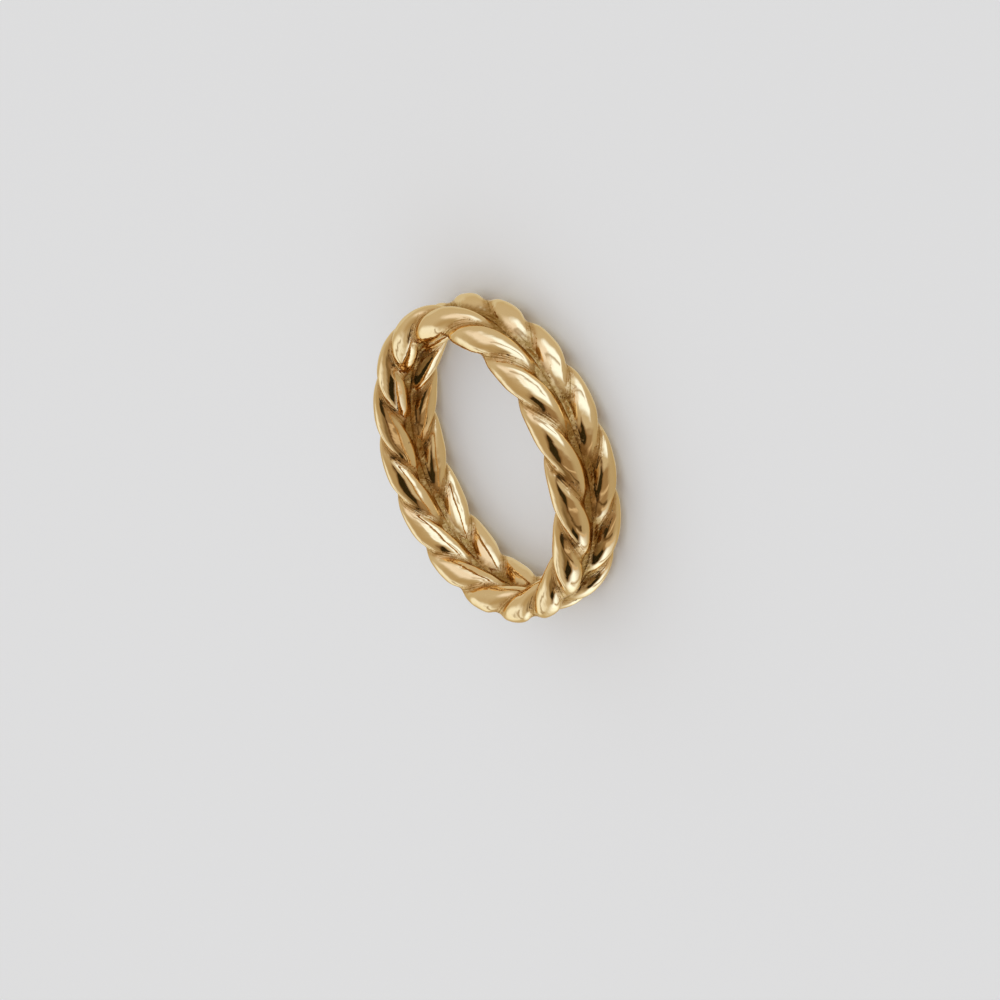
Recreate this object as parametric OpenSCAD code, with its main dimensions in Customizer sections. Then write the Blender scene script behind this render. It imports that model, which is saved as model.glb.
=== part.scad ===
// Braided band ring, in millimetres.
// Two ropes lie side by side round the finger hole and twist in opposite senses, so their crests
// form a row of V shapes. Each rope is one closed strand: it goes twice round the ring, and its
// second round twists with its first. The crests of one rope stand between those of the other.
// The ring lies on its side: Z is the axis of the finger hole, and the lower rope rests on Z = 0.

/* [Ring] */
// Diameter of the finger hole, measured across the crests of the strands
finger_hole_d = 17.3; // [15:0.1:21]
// Crests of each rope round the ring, an odd number so that a strand closes after two rounds
crests = 15; // [11:2:17]

/* [Strands] */
// Width of a strand, measured round its rope
strand_w = 1.72; // [1.2:0.02:1.8]
// Thickness of a strand, measured outwards from the middle of its rope
strand_t = 1.16; // [0.9:0.02:1.4]

/* [Clearances] */
// Clearance between the two rounds of a strand, in the middle of their rope
strand_gap = 0.12; // [0.1:0.01:0.3]
// Clearance between the circles that the crests of the two ropes reach. The strands themselves lie
// further apart, because the crests of one rope stand between those of the other.
rope_gap = 0.02; // [0:0.01:0.3]

/* [Smoothness] */
// Sections along one twist of a strand
sections_per_twist = 20; // [12:4:24]
// Sides of a strand's section
section_sides = 12; // [10:2:12]

/* [Hidden] */
gold = [0.86, 0.63, 0.32];
// Rounds that a strand makes of the ring before it closes on itself
rounds = 2;
// Twists that a strand makes in one round of the ring
twists_per_round = crests / rounds;
sections = sections_per_twist * crests;
// Distance of a strand's middle line from the middle of its rope
twist_r = (strand_t + strand_gap) / 2;
rope_r = twist_r + strand_t / 2;
// Radius of the circle that the middle of each rope follows round the finger hole
ring_r = finger_hole_d / 2 + rope_r;
// Height of each rope's middle above or below the middle of the band
rope_height = rope_r + rope_gap / 2;
band_half_w = rope_height + rope_r;
// Angle that puts the lower rope's crests midway between the upper rope's
half_crest = 360 / rounds / 2;

function unit(v) = v / norm(v);

// The functions below take twist, the angle round the rope (0 faces away from the finger hole),
// and side, 1 for the upper rope and -1 for the lower. They give radial, round and axial parts.
function strand_middle(twist, side) =
    [ring_r + twist_r * cos(twist), 0, side * (rope_height + twist_r * sin(twist))];

function strand_direction(twist, side) =
    unit([
        -twists_per_round * twist_r * sin(twist),
        ring_r + twist_r * cos(twist),
        side * twists_per_round * twist_r * cos(twist)
    ]);

function outward(twist, side) = [cos(twist), 0, side * sin(twist)];

function section_point(twist, side, corner) =
    strand_middle(twist, side)
        + strand_w / 2 * cos(corner) * cross(strand_direction(twist, side), outward(twist, side))
        + strand_t / 2 * sin(corner) * outward(twist, side);

// Turns radial, round and axial parts at an angle round the ring into X, Y and Z
function placed(part, turn) =
    [
        part.x * cos(turn) - part.y * sin(turn),
        part.x * sin(turn) + part.y * cos(turn),
        part.z + band_half_w
    ];

function strand_points(side, lead) = [
    for (section = [0 : sections - 1])
        for (corner = [0 : section_sides - 1])
            let (turn = 360 * rounds * section / sections)
                placed(
                    section_point(turn * twists_per_round + lead, side, 360 * corner / section_sides),
                    turn
                )
];

function point_index(section, corner) =
    (section % sections) * section_sides + corner % section_sides;

// Two triangles for each side of each section, round the whole closed strand. Their shared edge
// runs along the twist, so it leans one way on the upper rope and the other way on the lower.
function strand_faces(side) = [
    for (section = [0 : sections - 1])
        for (corner = [0 : section_sides - 1])
            let (
                here = point_index(section, corner),
                beside = point_index(section, corner + 1),
                ahead = point_index(section + 1, corner),
                ahead_beside = point_index(section + 1, corner + 1)
            )
                each side > 0
                    ? [[here, beside, ahead], [beside, ahead_beside, ahead]]
                    : [[here, beside, ahead_beside], [here, ahead_beside, ahead]]
];

module strand(side, lead) {
    polyhedron(points = strand_points(side, lead), faces = strand_faces(side));
}

// The rope along the upper edge of the band
module upper_strand() {
    color(gold) strand(1, 0);
}

// The rope along the lower edge, on which the ring rests
module lower_strand() {
    color(gold) strand(-1, half_crest);
}

upper_strand();
lower_strand();
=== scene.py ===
"""Looks of a braided band ring in polished yellow gold.

Two ropes lie side by side round the finger hole and twist in opposite senses. Each rope is one
strand that goes twice round the ring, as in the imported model. Here each strand gets the smooth,
slightly uneven form of a casting that was polished by hand: its rounds melt into each other, and
the creases between them keep the rough skin of the mould. Lengths are in metres unless a name
ends in _mm.
"""

import logging
import math
from dataclasses import dataclass
from enum import Enum

import bpy
import numpy as np
from mathutils import Matrix, Vector, noise


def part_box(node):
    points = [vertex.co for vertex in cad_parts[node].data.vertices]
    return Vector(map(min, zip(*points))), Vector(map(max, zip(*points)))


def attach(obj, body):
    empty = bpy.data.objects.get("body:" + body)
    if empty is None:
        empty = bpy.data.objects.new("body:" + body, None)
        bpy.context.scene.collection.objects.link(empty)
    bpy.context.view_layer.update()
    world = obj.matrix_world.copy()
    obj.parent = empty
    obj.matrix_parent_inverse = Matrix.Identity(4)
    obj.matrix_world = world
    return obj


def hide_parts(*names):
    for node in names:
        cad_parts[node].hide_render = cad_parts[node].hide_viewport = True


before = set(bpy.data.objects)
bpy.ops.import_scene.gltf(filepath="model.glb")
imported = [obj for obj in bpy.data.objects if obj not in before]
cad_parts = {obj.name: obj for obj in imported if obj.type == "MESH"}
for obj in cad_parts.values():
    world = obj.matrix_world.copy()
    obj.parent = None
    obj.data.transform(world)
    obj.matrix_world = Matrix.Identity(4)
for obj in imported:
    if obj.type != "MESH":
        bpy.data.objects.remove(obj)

BODY = "root"
MM = 0.001
# Keeps a division away from zero
TINY = 1e-6
# A rope's surface is found so many times as finely round the rope as the mesh has points, and
# each point takes in its neighbours' reaches by these weights
FINER = 3
NEIGHBOUR_WEIGHTS = (1, 2, 3, 2, 1)
# A panel shows only in directions that face it by more than this
PANEL_FRONT = 0.001
# Distance between the fine lines that follow a crease
NESTED_LINE_PITCH_MM = 0.23
LOG = logging.getLogger("braided_band_ring")
Socket = bpy.types.NodeSocket
Colour = tuple[float, float, float, float]

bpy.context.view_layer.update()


class Rope(Enum):
    """The two ropes of the band; the value is the side of the band's middle that each lies on."""

    UPPER = 1
    LOWER = -1

    @property
    def node(self) -> str:
        """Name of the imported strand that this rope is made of."""
        return f"{self.name.lower()}_strand"

    @property
    def lead(self) -> float:
        """Angle by which the rope's twist runs ahead, so that the crests stand staggered."""
        return 0.0 if self is Rope.UPPER else math.pi / 2


@dataclass(frozen=True)
class BandSizes:
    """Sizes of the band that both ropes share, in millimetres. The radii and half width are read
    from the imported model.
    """

    hole_r: float
    outer_r: float
    half_width: float
    crests: int = 15
    rounds: int = 2
    strand_w: float = 1.72
    strand_t: float = 1.16

    @classmethod
    def from_frame(cls) -> "BandSizes":
        """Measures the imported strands.

        Returns:
            The band's sizes.
        """
        reach = []
        for rope in Rope:
            points = np.array([v.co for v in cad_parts[rope.node].data.vertices]) / MM
            reach.append(np.hypot(points[:, 0], points[:, 1]))
        low = min(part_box(rope.node)[0].z for rope in Rope)
        high = max(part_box(rope.node)[1].z for rope in Rope)
        radii = np.concatenate(reach)
        return cls(
            hole_r=float(radii.min()),
            outer_r=float(radii.max()),
            half_width=(high - low) / 2 / MM,
        )

    @property
    def rope_r(self) -> float:
        """Radius of a rope, out to its crests."""
        return (self.outer_r - self.hole_r) / 2

    @property
    def ring_r(self) -> float:
        """Radius of the circle that the middle of each rope follows."""
        return (self.outer_r + self.hole_r) / 2

    @property
    def rope_height(self) -> float:
        """Height of a rope's middle above or below the middle of the band."""
        return self.half_width - self.rope_r

    @property
    def twists_per_round(self) -> float:
        """Twists that a strand makes in one round of the ring."""
        return self.crests / self.rounds


def mesh_object(name: str, points: np.ndarray, faces: np.ndarray) -> bpy.types.Object:
    """Makes a smooth shaded mesh object from points in millimetres.

    Args:
        name: Name of the object and of its mesh.
        points: Corner points, one row each, in millimetres.
        faces: Corner indices, one row of four a face.

    Returns:
        The object, linked to the scene.
    """
    mesh = bpy.data.meshes.new(name)
    mesh.from_pydata((points * MM).tolist(), [], faces.tolist())
    mesh.polygons.foreach_set("use_smooth", np.ones(len(faces), dtype=bool))
    mesh.update()
    thing = bpy.data.objects.new(name, mesh)
    bpy.context.scene.collection.objects.link(thing)
    return thing


def loop_faces(sections: int, sides: int, flipped: bool) -> np.ndarray:
    """Faces of a closed tube whose last section joins its first.

    Args:
        sections: Sections along the tube.
        sides: Points of each section.
        flipped: Whether the faces turn the other way.

    Returns:
        One row of four point indices a face.
    """
    along, round_ = np.meshgrid(np.arange(sections), np.arange(sides), indexing="ij")
    ahead = (along + 1) % sections
    beside = (round_ + 1) % sides
    corners = [
        along * sides + round_,
        along * sides + beside,
        ahead * sides + beside,
        ahead * sides + round_,
    ]
    if flipped:
        corners.reverse()
    return np.stack(corners, axis=-1).reshape(-1, 4)


def unit(vectors: np.ndarray) -> np.ndarray:
    """Vectors along the last axis, brought to length 1."""
    return vectors / np.linalg.norm(vectors, axis=-1, keepdims=True)


def tube_normals(points: np.ndarray) -> np.ndarray:
    """Normals of a closed tube.

    Args:
        points: The tube's points, by section, side and axis.

    Returns:
        One unit vector a point.
    """
    along = np.roll(points, -1, 0) - np.roll(points, 1, 0)
    around = np.roll(points, -1, 1) - np.roll(points, 1, 1)
    return unit(np.cross(around, along))


def add_measure(thing: bpy.types.Object, name: str, values: np.ndarray) -> None:
    """Stores a number or a place for each point of a mesh.

    Args:
        thing: The object.
        name: Name of the attribute.
        values: The numbers, by section and side, or the places.
    """
    place = values.ndim == 3
    layer = thing.data.attributes.new(name, "FLOAT_VECTOR" if place else "FLOAT", "POINT")
    layer.data.foreach_set("vector" if place else "value", values.astype(np.float32).ravel())


def step(values: np.ndarray, low: float, high: float) -> np.ndarray:
    """Smooth step from 0 at low to 1 at high."""
    share = np.clip((values - low) / (high - low), 0, 1)
    return share * share * (3 - 2 * share)


def blended(first: np.ndarray, second: np.ndarray, width: float) -> np.ndarray:
    """Distance to two bodies that melt into each other.

    Args:
        first: Distances to one body.
        second: Distances to the other.
        width: How far from each other they start to melt.

    Returns:
        The distances, less than zero inside.
    """
    near = np.maximum(width - np.abs(first - second), 0)
    return np.minimum(first, second) - near**2 / (4 * width)


def noise_of(points: np.ndarray, scale: float, octaves: int, shift: float = 0.0) -> np.ndarray:
    """Smooth noise of about -1 to 1.

    Args:
        points: Points in millimetres, along the last axis.
        scale: Waves a millimetre.
        octaves: How many finer and fainter layers it has.
        shift: Moves the pattern.

    Returns:
        One value a point.
    """
    move = Vector((shift, -shift, 2 * shift))
    flat = (Vector(point) * scale + move for point in points.reshape(-1, 3).tolist())
    values = [noise.fractal(place, 0.8, 2.0, octaves) for place in flat]
    return np.array(values).reshape(points.shape[:-1])


@dataclass(frozen=True)
class CastForm:
    """Form of the casting: strands, melted into a core in each rope and a web between the ropes.

    Lengths are in millimetres. Places in the band's section are given by x, away from the finger
    hole from the ropes' middles, and z, up from the middle of the band.
    """

    sizes: BandSizes
    # Share by which a strand is slimmer at the groove between the ropes than at the band's edge
    taper: float = 0.15
    # Radius of the core that fills the middle of each rope
    core_r: float = 0.84
    # Half the thickness and half the height of the web, and the radius of its corners
    web_reach: float = 0.6
    web_half_width: float = 0.3
    web_corner: float = 0.2
    # How far from each other two bodies start to melt
    melt_rounds: float = 0.28
    melt_core: float = 0.3
    melt_ropes: float = 0.24

    def round_distance(
        self, rope: Rope, turn: np.ndarray, x: np.ndarray, z: np.ndarray
    ) -> np.ndarray:
        """Distance to the round of a strand that passes an angle round the ring.

        Args:
            rope: The strand's rope.
            turn: Angle along the strand, 0 to 720 degrees in radians.
            x: Place away from the finger hole.
            z: Place above the middle of the band.

        Returns:
            The distances, less than zero inside.
        """
        sizes, side = self.sizes, rope.value
        rise = sizes.strand_t / 2
        twist_r = sizes.rope_r - rise
        rate = sizes.twists_per_round
        # Angle from the place to the nearest point of the strand's middle line, found in two steps
        off = np.zeros(np.broadcast(turn, x).shape)
        for last in (False, False, True):
            twist = rate * (turn + off) + rope.lead
            reach = sizes.ring_r + twist_r * np.cos(twist)
            cos, sin = np.cos(off), np.sin(off)
            gap = np.stack(
                [
                    sizes.ring_r + x - reach * cos,
                    -reach * sin,
                    z - side * (sizes.rope_height + twist_r * np.sin(twist)),
                ],
                -1,
            )
            pull = -rate * twist_r * np.sin(twist)
            forward = np.stack(
                [
                    pull * cos - reach * sin,
                    pull * sin + reach * cos,
                    side * rate * twist_r * np.cos(twist),
                ],
                -1,
            )
            if not last:
                off = off + (gap * forward).sum(-1) / (forward**2).sum(-1)
        flat = sizes.strand_w / 2 * (1 - self.taper * (1 - np.sin(twist)) / 2)
        outward = np.stack([np.cos(twist) * cos, np.cos(twist) * sin, side * np.sin(twist)], -1)
        across = np.cross(unit(forward), outward)
        off_across, off_outward = (gap * across).sum(-1), (gap * outward).sum(-1)
        whole = np.hypot(off_across / flat, off_outward / rise)
        slope = np.hypot(off_across / flat**2, off_outward / rise**2)
        return whole * (whole - 1) / np.maximum(slope, TINY)

    def rope_distance(
        self, rope: Rope, turn: np.ndarray, x: np.ndarray, z: np.ndarray
    ) -> np.ndarray:
        """Distance to a whole rope, whose two rounds melt into each other and into a core.

        Args:
            rope: The rope.
            turn: Angle round the ring, in radians.
            x: Place away from the finger hole.
            z: Place above the middle of the band.

        Returns:
            The distances, less than zero inside.
        """
        rounds = [
            self.round_distance(rope, turn + 2 * math.pi * k, x, z)
            for k in range(self.sizes.rounds)
        ]
        core = np.hypot(x, z - rope.value * self.sizes.rope_height) - self.core_r
        return blended(blended(rounds[0], rounds[1], self.melt_rounds), core, self.melt_core)

    def distance(self, turn: np.ndarray, x: np.ndarray, z: np.ndarray) -> np.ndarray:
        """Distance to the whole casting.

        Args:
            turn: Angle round the ring, in radians.
            x: Place away from the finger hole.
            z: Place above the middle of the band.

        Returns:
            The distances, less than zero inside.
        """
        ropes = [self.rope_distance(rope, turn, x, z) for rope in Rope]
        corner = self.web_corner + np.stack(
            [np.abs(x) - self.web_reach, np.abs(z) - self.web_half_width]
        )
        web = np.hypot(*np.maximum(corner, 0)) + np.minimum(corner.max(0), 0) - self.web_corner
        return blended(blended(ropes[0], ropes[1], self.melt_ropes), web, self.melt_ropes)


@dataclass
class Strand:
    """One closed strand of gold, which makes up a whole rope of the band."""

    rope: Rope
    form: CastForm
    sections: int = 1800
    outer_sides: int = 50
    inner_sides: int = 4
    # Angle from its crest over which a strand covers its rope, in degrees
    cover: float = 97.0
    # How far the surfaces of the two ropes lap over each other in the groove between them, and
    # how steeply each sinks there under the other
    lap_mm: float = 0.15
    sink: float = 2.0
    # The surface is looked for from this reach to this far past the crests, at so many places
    search_from_mm: float = 0.4
    search_past_mm: float = 0.35
    search_places: int = 64
    # Reach of the hidden points, how steeply the surface dives towards them from a quarter turn off
    # its crest, and the angle in radians over which the dive sets in
    hidden_mm: float = 0.5
    dive: float = 0.5
    dive_start: float = 0.05
    # Height above the strand's own form at which the metal is all crease
    crease_mm: float = 0.09
    # Depths between which a trough turns half into a crease
    trough_mm: tuple[float, float] = (0.28, 0.55)
    # Distance from the seam between two rounds over which it fades, its least height above their
    # own forms, and the depth that it counts for, which darkens it with painted shade
    seam_mm: tuple[float, float] = (0.01, 0.09)
    seam_lift_mm: float = 0.03
    seam_depth_mm: float = 0.4
    # Heights of the polish's ripples and of the mould's skin
    ripple_mm: float = 0.014
    skin_mm: float = 0.03
    # Noise over which patches of skin set in, and their distance from the middle of the band
    skin_patch: tuple[float, float] = (-0.15, 0.35)
    skin_off_middle_mm: tuple[float, float] = (0.05, 0.4)
    # Stretch of the polish's grain along the strand
    grain: float = 8.0

    def angles(self) -> np.ndarray:
        """Angles round the middle of the rope to each point of a section.

        Returns:
            The angles from the crest, in radians.
        """
        cover = math.radians(self.cover)
        outer = np.linspace(-cover, cover, self.outer_sides)
        hidden = np.linspace(cover, 2 * math.pi - cover, self.inner_sides + 2)[1:-1]
        return np.concatenate([outer, hidden])

    def surface(self, turn: np.ndarray, angle: np.ndarray) -> np.ndarray:
        """Reach of the casting's surface from the middle of the rope.

        Args:
            turn: Angle along the strand, by section.
            angle: Angle round the rope, by section and side.

        Returns:
            The reaches in millimetres, by section and side. Past the middle of the band they sink
            under the surface of the other rope.
        """
        sizes = self.form.sizes
        inside, outside = self.search_from_mm, sizes.rope_r + self.search_past_mm
        towards_middle = np.maximum(-np.sin(angle), TINY)
        limit = np.minimum((sizes.rope_height + self.lap_mm) / towards_middle, outside)
        share = np.linspace(0, 1, self.search_places)
        reach = inside + (limit[..., None] - inside) * share
        x = reach * np.cos(angle)[..., None]
        z = self.rope.value * (sizes.rope_height + reach * np.sin(angle)[..., None])
        field = self.form.distance(np.broadcast_to(turn[:, None, None], reach.shape), x, z)
        solid = field < 0
        last = solid.shape[-1] - 1 - np.argmax(solid[..., ::-1], axis=-1)
        after = np.minimum(last + 1, solid.shape[-1] - 1)
        low = np.take_along_axis(field, last[..., None], -1)[..., 0]
        high = np.take_along_axis(field, after[..., None], -1)[..., 0]
        part = np.where(after > last, -low / np.maximum(high - low, TINY), 0)
        found = inside + (limit - inside) / (len(share) - 1) * (last + part)
        past = np.maximum(found * towards_middle - sizes.rope_height, 0)
        return found - self.sink * past**2

    def one_twist(self) -> tuple[np.ndarray, np.ndarray, np.ndarray]:
        """Reach of the strand from the middle of the rope, over one twist.

        The surface is found finer than the mesh and smoothed, so that its steep flanks come out
        without teeth.

        Returns:
            Reaches in millimetres, and how far the surface lies above this round of the strand and
            above its other round, all by section and side.
        """
        sizes, side = self.form.sizes, self.rope.value
        count = self.sections // sizes.crests
        turn = 2 * math.pi * sizes.rounds * np.arange(count) / self.sections
        crest = (turn * sizes.twists_per_round + self.rope.lead)[:, None]
        cover = math.radians(self.cover)
        fine = np.linspace(-cover, cover, FINER * (self.outer_sides - 1) + 1)
        found = self.surface(turn, crest + fine[None])
        spare = len(NEIGHBOUR_WEIGHTS) // 2
        padded = np.pad(found, ((0, 0), (spare, spare)), mode="edge")
        found = sum(
            weight / sum(NEIGHBOUR_WEIGHTS) * padded[:, start : start + len(fine)]
            for start, weight in enumerate(NEIGHBOUR_WEIGHTS)
        )[:, ::FINER]
        for _ in range(2):
            found = 0.5 * found + 0.25 * (np.roll(found, 1, axis=0) + np.roll(found, -1, axis=0))
        found = np.pad(found, ((0, 0), (0, self.inner_sides)), constant_values=self.hidden_mm)
        past = np.maximum(np.abs(self.angles()) - math.pi / 2, 0)
        past[self.outer_sides :] = 0
        found = found - self.dive * past[None] ** 2 / (past[None] + self.dive_start)
        angle = crest + self.angles()[None]
        own, other = (
            self.form.round_distance(
                self.rope,
                np.broadcast_to(turn[:, None] + 2 * math.pi * k, found.shape),
                found * np.cos(angle),
                side * (sizes.rope_height + found * np.sin(angle)),
            )
            for k in range(sizes.rounds)
        )
        return found, own, other

    def depth(self, reach: np.ndarray, angle: np.ndarray) -> np.ndarray:
        """Depth of the surface below a smooth band that touches all the crests.

        Args:
            reach: Reach of the surface from the middle of its rope.
            angle: Angle round the rope.

        Returns:
            The depths, in millimetres.
        """
        out, up = reach * np.cos(angle), reach * np.sin(angle)
        return self.form.sizes.rope_r - np.hypot(out, np.maximum(up, 0))

    def lay(self, turn: np.ndarray, angle: np.ndarray) -> np.ndarray:
        """Place in the grain of the polish, which runs lengthwise and closes with the strand.

        Args:
            turn: Angle along the strand.
            angle: Angle round the rope, by section and side.

        Returns:
            The places in millimetres, with distances along the strand divided by grain.
        """
        sizes = self.form.sizes
        along = turn[:, None] / sizes.rounds + 0 * angle
        across = sizes.rope_r * (angle - angle.mean(axis=1, keepdims=True))
        radius = sizes.ring_r * sizes.rounds / self.grain
        return np.stack([radius * np.cos(along), radius * np.sin(along), across], -1)

    def unevenness(self, points: np.ndarray, crease: np.ndarray) -> np.ndarray:
        """Height of the polish's ripples, and of patches of the mould's skin in creases.

        Args:
            points: Points of the surface, in millimetres.
            crease: How much of a crease each lies in.

        Returns:
            One height a point, in millimetres.
        """
        shift = 3.0 * self.rope.value
        ripple = self.ripple_mm * noise_of(points, scale=0.9, octaves=2, shift=shift)
        patches = step(noise_of(points, scale=1.2, octaves=2, shift=5.0), *self.skin_patch)
        off_middle = np.abs(points[..., 2] - self.form.sizes.half_width)
        patches = patches * step(off_middle, *self.skin_off_middle_mm)
        return ripple + crease * patches * self.skin_mm * noise_of(points, scale=3.2, octaves=3)

    def build(self) -> bpy.types.Object:
        """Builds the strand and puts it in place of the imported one.

        Returns:
            The strand's object.
        """
        sizes, side = self.form.sizes, self.rope.value
        reach, lift, other = (np.tile(part, (sizes.crests, 1)) for part in self.one_twist())
        turn = 2 * math.pi * sizes.rounds * np.arange(self.sections) / self.sections
        angle = (turn * sizes.twists_per_round + self.rope.lead)[:, None] + self.angles()[None]
        out = sizes.ring_r + reach * np.cos(angle)
        up = side * (sizes.rope_height + reach * np.sin(angle)) + sizes.half_width
        points = np.stack([out * np.cos(turn)[:, None], out * np.sin(turn)[:, None], up], -1)
        normals = side * tube_normals(points)
        seam = 1 - step(np.abs(lift - other), *self.seam_mm)
        seam = seam * step(lift, 0.0, self.seam_lift_mm)
        # Seams count as deeper than they are, so that painted shade darkens them like troughs
        depth = self.depth(reach, angle) + self.seam_depth_mm * seam
        crease = np.maximum(step(lift, 0.0, self.crease_mm), 0.5 * step(depth, *self.trough_mm))
        points = points + normals * self.unevenness(points, crease)[..., None]
        strand = mesh_object(
            f"{self.rope.name.lower()}_rope",
            points.reshape(-1, 3),
            loop_faces(self.sections, points.shape[1], side < 0),
        )
        # Crease and depth steer the finish's roughness, dull colour and painted shade
        add_measure(strand, "crease", crease)
        add_measure(strand, "depth", depth)
        add_measure(strand, "edge", np.clip(other - lift, -1, 1))
        add_measure(strand, "lay", self.lay(turn, angle))
        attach(strand, BODY)
        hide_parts(self.rope.node)
        return strand

    @staticmethod
    def dress(strand: bpy.types.Object, finish: bpy.types.Material) -> None:
        """Gives a built strand its finish."""
        strand.data.materials.append(finish)


class ShaderBench:
    """Adds nodes to one tree and joins them, so that finishes read as lists of steps."""

    def __init__(self, tree: bpy.types.NodeTree) -> None:
        """Works on that tree."""
        self.nodes = tree.nodes
        self.links = tree.links

    def feed(self, socket: Socket, value: object) -> None:
        """Links a socket to another, or sets its value.

        Args:
            socket: The socket to feed.
            value: Another socket, or a number, vector or colour.
        """
        if isinstance(value, Socket):
            self.links.new(value, socket)
        else:
            socket.default_value = value

    def math(self, operation: str, *values: object, clamp: bool = False) -> Socket:
        """A Math node fed by sockets or numbers.

        Args:
            operation: The node's operation.
            values: What feeds it.
            clamp: Whether its result stays between 0 and 1.

        Returns:
            The node's result.
        """
        node = self.nodes.new("ShaderNodeMath")
        node.operation = operation
        node.use_clamp = clamp
        for socket, value in zip(node.inputs, values):
            self.feed(socket, value)
        return node.outputs[0]

    def dot(self, first: Socket, second: Socket) -> Socket:
        """How far one vector reaches along another.

        Args:
            first: One vector.
            second: The other.

        Returns:
            Their dot product.
        """
        node = self.nodes.new("ShaderNodeVectorMath")
        node.operation = "DOT_PRODUCT"
        self.feed(node.inputs[0], first)
        self.feed(node.inputs[1], second)
        return node.outputs["Value"]

    def millimetres(self) -> Socket:
        """Places on the object, in millimetres.

        Returns:
            The places.
        """
        where = self.nodes.new("ShaderNodeTexCoord")
        node = self.nodes.new("ShaderNodeVectorMath")
        node.operation = "SCALE"
        self.feed(node.inputs[0], where.outputs["Object"])
        node.inputs["Scale"].default_value = 1 / MM
        return node.outputs[0]

    def measure(self, name: str, output: str = "Fac") -> Socket:
        """What a mesh stores under a name for each of its points.

        Args:
            name: Name of the attribute.
            output: Fac for a number, Vector for a place.

        Returns:
            The stored values.
        """
        node = self.nodes.new("ShaderNodeAttribute")
        node.attribute_name = name
        return node.outputs[output]

    def noise(self, place: Socket, scale: float, detail: float, rough: float = 0.55) -> Socket:
        """Noise of about 0 to 1.

        Args:
            place: Where to read it.
            scale: Its waves for each unit of place.
            detail: Its octaves.
            rough: Share of each octave in the one before.

        Returns:
            The noise.
        """
        node = self.nodes.new("ShaderNodeTexNoise")
        self.feed(node.inputs["Vector"], place)
        node.inputs["Scale"].default_value = scale
        node.inputs["Detail"].default_value = detail
        node.inputs["Roughness"].default_value = rough
        return node.outputs["Fac"]

    def cells(self, place: Socket, scale: float) -> Socket:
        """Distance to the nearest of many scattered spots.

        Args:
            place: Where to read it.
            scale: Spots for each unit of place.

        Returns:
            The distance, as a share of a spot's cell.
        """
        node = self.nodes.new("ShaderNodeTexVoronoi")
        self.feed(node.inputs["Vector"], place)
        node.inputs["Scale"].default_value = scale
        return node.outputs["Distance"]

    def ramp(
        self,
        value: Socket,
        low: object,
        high: object,
        start: float = 0.0,
        end: float = 1.0,
    ) -> Socket:
        """Smooth step from start to end as value goes from low to high.

        Args:
            value: What it follows.
            low: Where it starts.
            high: Where it ends.
            start: Result up to low.
            end: Result from high on.

        Returns:
            The result.
        """
        node = self.nodes.new("ShaderNodeMapRange")
        node.interpolation_type = "SMOOTHSTEP"
        names = ("Value", "From Min", "From Max", "To Min", "To Max")
        for name, given in zip(names, (value, low, high, start, end)):
            self.feed(node.inputs[name], given)
        return node.outputs[0]

    def mix(self, share: Socket, first: object, second: object) -> Socket:
        """Mixes two colours.

        Args:
            share: Share of the second.
            first: The first colour.
            second: The second colour.

        Returns:
            The mixed colour.
        """
        node = self.nodes.new("ShaderNodeMix")
        node.data_type = "RGBA"
        self.feed(node.inputs["Factor"], share)
        self.feed(node.inputs["A"], first)
        self.feed(node.inputs["B"], second)
        return node.outputs["Result"]

    def group(self, tree: bpy.types.NodeTree, **values: object) -> bpy.types.NodeOutputs:
        """Places a node group.

        Args:
            tree: The group.
            values: What feeds its inputs, by name with _ for a space.

        Returns:
            The group's outputs.
        """
        node = self.nodes.new("ShaderNodeGroup")
        node.node_tree = tree
        for name, value in values.items():
            self.feed(node.inputs[name.replace("_", " ")], value)
        return node.outputs


class EffectGroup:
    """A node group that is being made, with a bench to make it on."""

    def __init__(self, name: str, inputs: dict[str, str], outputs: tuple[str, ...]) -> None:
        """Starts the group.

        Args:
            name: Name of the group.
            inputs: Kinds of its inputs, by name.
            outputs: Names of its outputs. The one called Color is a colour, the rest are numbers.
        """
        self.tree = bpy.data.node_groups.new(name, "ShaderNodeTree")
        face = self.tree.interface
        for label, kind in inputs.items():
            face.new_socket(label, in_out="INPUT", socket_type=f"NodeSocket{kind}")
        for label in outputs:
            kind = "Color" if label == "Color" else "Float"
            face.new_socket(label, in_out="OUTPUT", socket_type=f"NodeSocket{kind}")
        self.bench = ShaderBench(self.tree)
        self.given = self.tree.nodes.new("NodeGroupInput").outputs
        self.out = self.tree.nodes.new("NodeGroupOutput").inputs

    def closed(self, **results: Socket) -> bpy.types.NodeTree:
        """Feeds the outputs.

        Args:
            results: What feeds each output, by name.

        Returns:
            The finished group.
        """
        for name, result in results.items():
            self.bench.feed(self.out[name], result)
        return self.tree


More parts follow.
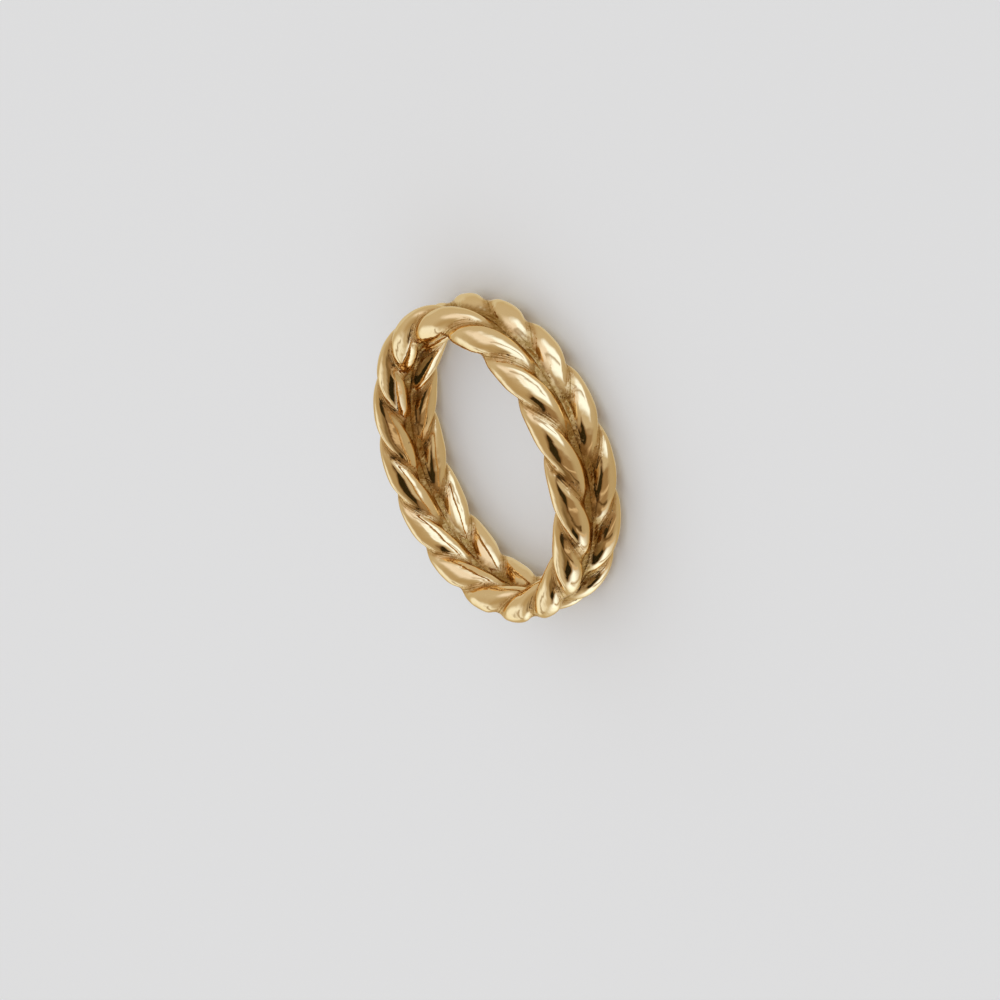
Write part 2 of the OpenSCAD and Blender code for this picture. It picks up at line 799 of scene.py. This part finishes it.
class Effects:
    """Node groups for what the gold finishes have in common, each made once."""

    def __init__(self) -> None:
        """Makes the groups."""
        self.skin = self.make_skin()
        self.polish = self.make_polish()
        self.tone = self.make_tone()

    @staticmethod
    def make_skin() -> bpy.types.NodeTree:
        """The grainy skin and pits that the mould leaves in creases.

        Returns:
            The group. Its place is in millimetres, and so is the height that it gives.
        """
        group = EffectGroup(
            "mould_skin",
            {"Place": "Vector", "Crease": "Float", "Depth": "Float"},
            ("Height", "Mask", "Pit"),
        )
        bench, place = group.bench, group.given["Place"]
        # Skin is left where a crease meets a patch of noise
        patches = bench.math("SUBTRACT", bench.noise(place, scale=1.3, detail=2.0), 0.56)
        near = bench.math("MULTIPLY", group.given["Crease"], 0.6)
        rough = bench.math("MULTIPLY_ADD", patches, 2.2, near)
        mask = bench.ramp(rough, low=0.3, high=0.6)
        spots = bench.cells(place, scale=3.4)
        pit = bench.math("MULTIPLY", bench.ramp(spots, 0.08, 0.24, start=1.0, end=0.0), mask)
        grain = bench.noise(place, scale=6.5, detail=3.0, rough=0.6)
        grain = bench.math("MULTIPLY", grain, mask)
        height = bench.math("MULTIPLY_ADD", grain, 0.55, bench.math("MULTIPLY", pit, -0.8))
        height = bench.math("MULTIPLY", height, group.given["Depth"])
        return group.closed(Height=height, Mask=mask, Pit=pit)

    @staticmethod
    def make_polish() -> bpy.types.NodeTree:
        """Soft waves, lengthwise streaks, and lines nested along the creases.

        Returns:
            The group. Its places are in millimetres, and so is the height that it gives.
        """
        group = EffectGroup(
            "hand_polish",
            {
                "Place": "Vector",
                "Lay": "Vector",
                "Edge": "Float",
                "Wave": "Float",
                "Streak": "Float",
                "Hairline": "Float",
                "Line": "Float",
            },
            ("Height", "Haze"),
        )
        bench, given = group.bench, group.given
        place, lay, edge = given["Place"], given["Lay"], given["Edge"]
        waves = bench.noise(place, scale=1.4, detail=1.0)
        height = bench.math("MULTIPLY", waves, given["Wave"])
        streaks = bench.noise(lay, scale=1.7, detail=2.0, rough=0.5)
        height = bench.math("MULTIPLY_ADD", streaks, given["Streak"], height)
        hairlines = bench.noise(lay, scale=9.0, detail=2.0, rough=0.6)
        height = bench.math("MULTIPLY_ADD", hairlines, given["Hairline"], height)
        drift = bench.math("MULTIPLY", bench.noise(lay, scale=0.9, detail=0.0), 6.0)
        waves_per_mm = 2 * math.pi / NESTED_LINE_PITCH_MM
        nested = bench.math("SINE", bench.math("MULTIPLY_ADD", edge, waves_per_mm, drift))
        off_seam = bench.ramp(edge, low=0.03, high=0.1)
        near_seam = bench.ramp(edge, low=0.3, high=0.7, start=1.0, end=0.0)
        near = bench.math("MULTIPLY", off_seam, near_seam)
        worked = bench.ramp(bench.noise(place, scale=0.9, detail=1.0), low=0.36, high=0.56)
        nested = bench.math("MULTIPLY", nested, bench.math("MULTIPLY", near, worked))
        height = bench.math("MULTIPLY_ADD", nested, given["Line"], height)
        return group.closed(Height=height, Haze=bench.noise(place, scale=0.8, detail=3.0))

    @staticmethod
    def make_tone() -> bpy.types.NodeTree:
        """Colour of gold, with painted shade that darkens it in creases and pits, most of all in
        the groove between the ropes.

        Returns:
            The group.
        """
        group = EffectGroup(
            "gold_tone",
            {
                "Place": "Vector",
                "Crease": "Float",
                "Depth": "Float",
                "Pit": "Float",
                "Polished": "Color",
                "Dull": "Color",
                "Stain": "Color",
            },
            ("Color",),
        )
        bench, given = group.bench, group.given
        place, dull = given["Place"], given["Dull"]
        spots = bench.noise(place, scale=2.7, detail=4.0, rough=0.65)
        # Creases take the dull colour, partly the mould's unpolished skin and partly painted shade
        left_dull = bench.ramp(spots, low=0.3, high=0.6, start=0.6, end=1.0)
        worn = bench.math("MULTIPLY", left_dull, given["Crease"])
        tone = bench.mix(worn, given["Polished"], dull)
        # Painted shade: the darker colour goes where the surface lies deep below the crests, and
        # into pits
        depth = bench.math("MULTIPLY_ADD", spots, 0.25, given["Depth"])
        in_pit = bench.math("MULTIPLY", given["Pit"], 0.85)
        deep = bench.math("MAXIMUM", bench.ramp(depth, low=0.42, high=0.78), in_pit)
        mottle = bench.noise(place, scale=4.2, detail=2.0, rough=0.6)
        speck = bench.ramp(mottle, low=0.44, high=0.66, start=0.0, end=0.5)
        stain = bench.mix(speck, given["Stain"], dull)
        return group.closed(Color=bench.mix(deep, tone, stain))


@dataclass(frozen=True)
class GoldFinish:
    """Yellow gold, polished where a wheel reached it; its creases are dull and darkened by painted
    shade.
    """

    name: str
    polished: Colour
    # Colour in creases, partly the unpolished skin's own and partly painted shade
    dull: Colour
    # Painted shade for troughs, seams and pits
    stain: Colour
    # Colour of the gloss at grazing angles
    rim: Colour
    gloss: float
    # Roughness that a crease adds, and that its skin adds once more
    dullness: float
    # Heights of the skin's grain, the polish's waves, streaks and hairlines, and the nested lines
    skin_mm: float
    wave_mm: float
    streak_mm: float
    hairline_mm: float
    line_mm: float

    def material(self, effects: Effects) -> bpy.types.Material:
        """Makes the material.

        Args:
            effects: The node groups of the gold finishes.

        Returns:
            The material.
        """
        material = bpy.data.materials.new(self.name)
        material.use_nodes = True
        bench = ShaderBench(material.node_tree)
        metal = material.node_tree.nodes["Principled BSDF"]
        metal.inputs["Metallic"].default_value = 1.0
        metal.inputs["Specular Tint"].default_value = self.rim
        place, crease = bench.millimetres(), bench.measure("crease")
        skin = bench.group(effects.skin, Place=place, Crease=crease, Depth=self.skin_mm)
        polish = bench.group(
            effects.polish,
            Place=place,
            Lay=bench.measure("lay", "Vector"),
            Edge=bench.measure("edge"),
            Wave=self.wave_mm,
            Streak=self.streak_mm,
            Hairline=self.hairline_mm,
            Line=self.line_mm,
        )
        tone = bench.group(
            effects.tone,
            Place=place,
            Crease=crease,
            Depth=bench.measure("depth"),
            Pit=skin["Pit"],
            Polished=self.polished,
            Dull=self.dull,
            Stain=self.stain,
        )
        bench.feed(metal.inputs["Base Color"], tone["Color"])
        gloss = bench.ramp(polish["Haze"], 0.3, 0.75, start=self.gloss, end=self.gloss * 1.6)
        dull = bench.math("MULTIPLY", crease, self.dullness)
        dull = bench.math("MULTIPLY_ADD", skin["Mask"], self.dullness, dull)
        bench.feed(metal.inputs["Roughness"], bench.math("ADD", gloss, dull, clamp=True))
        bump = bench.nodes.new("ShaderNodeBump")
        bump.inputs["Strength"].default_value = 1.0
        bump.inputs["Distance"].default_value = MM
        height = bench.math("ADD", skin["Height"], polish["Height"])
        bench.feed(bump.inputs["Height"], height)
        bench.feed(metal.inputs["Normal"], bump.outputs["Normal"])
        return material


POLISHED_GOLD = GoldFinish(
    name="polished_gold",
    polished=(0.95, 0.7, 0.38, 1.0),
    # Partly the unpolished skin's colour, partly painted shade
    dull=(0.68, 0.41, 0.165, 1.0),
    # Painted shade for troughs, seams and pits
    stain=(0.375, 0.199, 0.052, 1.0),
    rim=(0.93, 0.8, 0.56, 1.0),
    gloss=0.052,
    dullness=0.13,
    skin_mm=0.05,
    wave_mm=0.014,
    streak_mm=0.013,
    hairline_mm=0.0011,
    line_mm=0.005,
)


@dataclass(frozen=True)
class FloorFinish:
    """Plain matt board."""

    name: str
    colour: Colour
    roughness: float
    gloss: float

    def material(self) -> bpy.types.Material:
        """Makes the material.

        Returns:
            The material.
        """
        material = bpy.data.materials.new(self.name)
        material.use_nodes = True
        board = material.node_tree.nodes["Principled BSDF"]
        board.inputs["Base Color"].default_value = self.colour
        board.inputs["Roughness"].default_value = self.roughness
        board.inputs["Specular IOR Level"].default_value = self.gloss
        return material


PALE_FLOOR = FloorFinish("pale_floor", (0.8, 0.8, 0.8, 1.0), roughness=0.9, gloss=0.1)


@dataclass(frozen=True)
class Panel:
    """A soft-edged light panel or dark flag, far from the ring, seen in the gold.

    Azimuth 0 lies towards +Y and 90 towards -X. Widths are tangents of half angles.
    """

    azimuth: float
    elevation: float
    half_width: float
    half_height: float
    edge: float
    colour: tuple[float, float, float]
    roll: float = 0.0

    def axes(self) -> tuple[Vector, Vector, Vector]:
        """Directions towards the panel, across it and up it.

        Returns:
            Three unit vectors.
        """
        a, e, r = (math.radians(v) for v in (self.azimuth, self.elevation, self.roll))
        facing = Vector((-math.sin(a) * math.cos(e), math.cos(a) * math.cos(e), math.sin(e)))
        level = Vector((math.cos(a), math.sin(a), 0.0))
        steep = level.cross(facing)
        across = level * math.cos(r) + steep * math.sin(r)
        return facing, across, across.cross(facing)


# What the gold mirrors. Each panel has its azimuth and elevation, half width and half height, the
# width of its soft edge, and its light
STUDIO_PANELS = (
    # Broad cool lights and warm dark sides
    Panel(-133, -3, 0.6, 1.0, 0.42, (1.12, 1.42, 1.95), roll=30),
    Panel(-95, 35, 0.6, 0.36, 0.5, (0.92, 0.95, 1.08), roll=-36),
    Panel(22, 22, 0.32, 0.45, 0.3, (0.98, 1.12, 1.32), roll=-38),
    Panel(-18, -40, 0.43, 1.1, 0.34, (0.7, 0.74, 0.78), roll=-15),
    Panel(122, 8, 1.12, 1.2, 0.4, (0.33, 0.24, 0.143), roll=11),
    Panel(74, -20, 0.5, 0.5, 0.5, (1.2, 1.5, 2.05), roll=15),
    Panel(117, -56, 0.73, 1.0, 1.2, (0.5, 0.45, 0.34), roll=39),
    Panel(0, 90, 0.5, 1.0, 1.0, (0.46, 0.38, 0.25)),
    Panel(88, 50, 0.26, 0.45, 0.5, (0.2, 0.141, 0.067), roll=7),
    # Narrow strips across them
    Panel(-128, 4, 0.07, 0.9, 0.16, (0.5, 0.46, 0.42), roll=30),
    Panel(70, -24, 0.07, 0.45, 0.16, (0.5, 0.42, 0.32), roll=15),
    Panel(104, -12, 0.06, 0.6, 0.08, (0.66, 0.57, 0.46), roll=12),
    Panel(137, 18, 0.05, 0.8, 0.08, (0.66, 0.56, 0.44), roll=-8),
    Panel(120, 20, 0.05, 0.7, 0.1, (0.1, 0.06, 0.02), roll=4),
    Panel(30, 20, 0.05, 0.4, 0.14, (0.4, 0.33, 0.24), roll=-38),
    # Two dark flags, each on a wider and softer one
    Panel(163, 56, 0.46, 0.36, 0.3, (0.16, 0.085, 0.03), roll=40),
    Panel(87, 25, 0.32, 0.28, 0.3, (0.2, 0.125, 0.05), roll=8),
    Panel(163, 56, 0.35, 0.26, 0.08, (0.03, 0.022, 0.007), roll=40),
    Panel(87, 25, 0.23, 0.2, 0.07, (0.02, 0.016, 0.006), roll=8),
)


@dataclass
class Studio:
    """Floor, camera and light. Angles are in degrees, and roll turns the camera on its axis."""

    target: Vector
    azimuth: float = 4.11
    elevation: float = 30.98
    roll: float = 112.37
    distance: float = 0.14565
    lens_mm: float = 78.93
    sensor_mm: float = 36.0
    shift: tuple[float, float] = (0.00789, -0.04082)
    # Distance from which the camera shows things
    nearest: float = 0.001
    floor_width: float = 6.0
    backdrop: Colour = (0.8, 0.8, 0.805, 1.0)
    # What the gold mirrors between the panels
    surround: Colour = (0.59, 0.555, 0.475, 1.0)
    lamp_place: tuple[float, float, float] = (-0.1, 0.1, 0.6)
    lamp_width: float = 0.5
    lamp_watts: float = 0.5

    def place_camera(self) -> None:
        """Puts the camera at the photograph's angle to the ring."""
        a, e, r = (math.radians(v) for v in (self.azimuth, self.elevation, self.roll))
        forward = Vector((-math.sin(a) * math.cos(e), math.cos(a) * math.cos(e), -math.sin(e)))
        level = forward.cross(Vector((0, 0, 1))).normalized()
        steep = level.cross(forward)
        up = steep * math.cos(r) + level * math.sin(r)
        right = forward.cross(up)
        camera = bpy.data.objects.new("camera", bpy.data.cameras.new("camera"))
        bpy.context.scene.collection.objects.link(camera)
        turn = Matrix((right, up, -forward)).transposed().to_4x4()
        camera.matrix_world = Matrix.Translation(self.target - forward * self.distance) @ turn
        camera.data.lens = self.lens_mm
        camera.data.sensor_width = self.sensor_mm
        camera.data.shift_x, camera.data.shift_y = self.shift
        camera.data.clip_start = self.nearest
        bpy.context.scene.camera = camera

    def lay_floor(self) -> None:
        """Lays the pale floor that the ring rests on, which the gold doesn't mirror."""
        bpy.ops.mesh.primitive_plane_add(size=self.floor_width, location=(0, 0, 0))
        floor = bpy.context.object
        floor.name = "floor"
        floor.data.materials.append(PALE_FLOOR.material())
        floor.visible_glossy = False

    @staticmethod
    def panel_group() -> bpy.types.NodeTree:
        """Node group that says how much of a panel lies in a direction.

        Returns:
            The group.
        """
        group = EffectGroup(
            "light_panel",
            {
                "Direction": "Vector",
                "Facing": "Vector",
                "Across": "Vector",
                "Up": "Vector",
                "Half Width": "Float",
                "Half Height": "Float",
                "Edge": "Float",
            },
            ("Mask",),
        )
        bench, given = group.bench, group.given
        facing = bench.dot(given["Direction"], given["Facing"])
        depth = bench.math("MAXIMUM", facing, PANEL_FRONT)
        inner = bench.math("MULTIPLY", given["Edge"], -0.5)
        outer = bench.math("MULTIPLY", given["Edge"], 0.5)
        mask = bench.math("GREATER_THAN", facing, PANEL_FRONT)
        for axis, half in (("Across", "Half Width"), ("Up", "Half Height")):
            off = bench.math("DIVIDE", bench.dot(given["Direction"], given[axis]), depth)
            past = bench.math("SUBTRACT", bench.math("ABSOLUTE", off), given[half])
            inside = bench.ramp(past, inner, outer, start=1.0, end=0.0)
            mask = bench.math("MULTIPLY", mask, inside)
        return group.closed(Mask=mask)

    def hang_panels(self) -> None:
        """Builds the world: panels for what the gold mirrors, a plain backdrop for the rest."""
        world = bpy.data.worlds.new("studio")
        bpy.context.scene.world = world
        world.use_nodes = True
        world.node_tree.nodes.clear()
        bench = ShaderBench(world.node_tree)
        direction = bench.nodes.new("ShaderNodeTexCoord").outputs["Generated"]
        panel_group = self.panel_group()
        colour: Colour | Socket = self.surround
        for panel in STUDIO_PANELS:
            facing, across, up = panel.axes()
            here = bench.group(
                panel_group,
                Direction=direction,
                Facing=facing,
                Across=across,
                Up=up,
                Half_Width=panel.half_width,
                Half_Height=panel.half_height,
                Edge=panel.edge,
            )
            colour = bench.mix(here["Mask"], colour, (*panel.colour, 1))
        mirrored = bench.nodes.new("ShaderNodeBackground")
        plain = bench.nodes.new("ShaderNodeBackground")
        path = bench.nodes.new("ShaderNodeLightPath")
        choice = bench.nodes.new("ShaderNodeMixShader")
        out = bench.nodes.new("ShaderNodeOutputWorld")
        bench.feed(mirrored.inputs["Color"], colour)
        bench.feed(plain.inputs["Color"], self.backdrop)
        bench.feed(choice.inputs["Fac"], path.outputs["Is Glossy Ray"])
        bench.feed(choice.inputs[1], plain.outputs[0])
        bench.feed(choice.inputs[2], mirrored.outputs[0])
        bench.feed(out.inputs["Surface"], choice.outputs[0])

    def hang_lamp(self) -> None:
        """Hangs the broad lamp that lights the floor."""
        light = bpy.data.lights.new("lamp", "AREA")
        light.shape = "DISK"
        light.size = self.lamp_width
        light.energy = self.lamp_watts
        lamp = bpy.data.objects.new("lamp", light)
        bpy.context.scene.collection.objects.link(lamp)
        lamp.location = self.lamp_place
        lamp.rotation_euler = (-lamp.location).to_track_quat("-Z", "Y").to_euler()
        lamp.visible_camera = False
        lamp.visible_glossy = False

    def build(self) -> None:
        """Sets up the whole studio."""
        scene = bpy.context.scene
        scene.view_settings.view_transform = "Standard"
        scene.view_settings.look = "None"
        self.place_camera()
        self.lay_floor()
        self.hang_panels()
        self.hang_lamp()


def main() -> None:
    """Builds the ring and the studio."""
    logging.basicConfig(level=logging.INFO, format="%(name)s: %(message)s")
    sizes = BandSizes.from_frame()
    Studio(target=Vector((0, 0, sizes.half_width * MM))).build()
    effects = Effects()
    polished = POLISHED_GOLD.material(effects)
    form = CastForm(sizes)
    for rope in Rope:
        piece = Strand(rope, form)
        strand = piece.build()
        piece.dress(strand, polished)
        LOG.info("%s: %d faces", strand.name, len(strand.data.polygons))


if __name__ == "__main__":
    main()
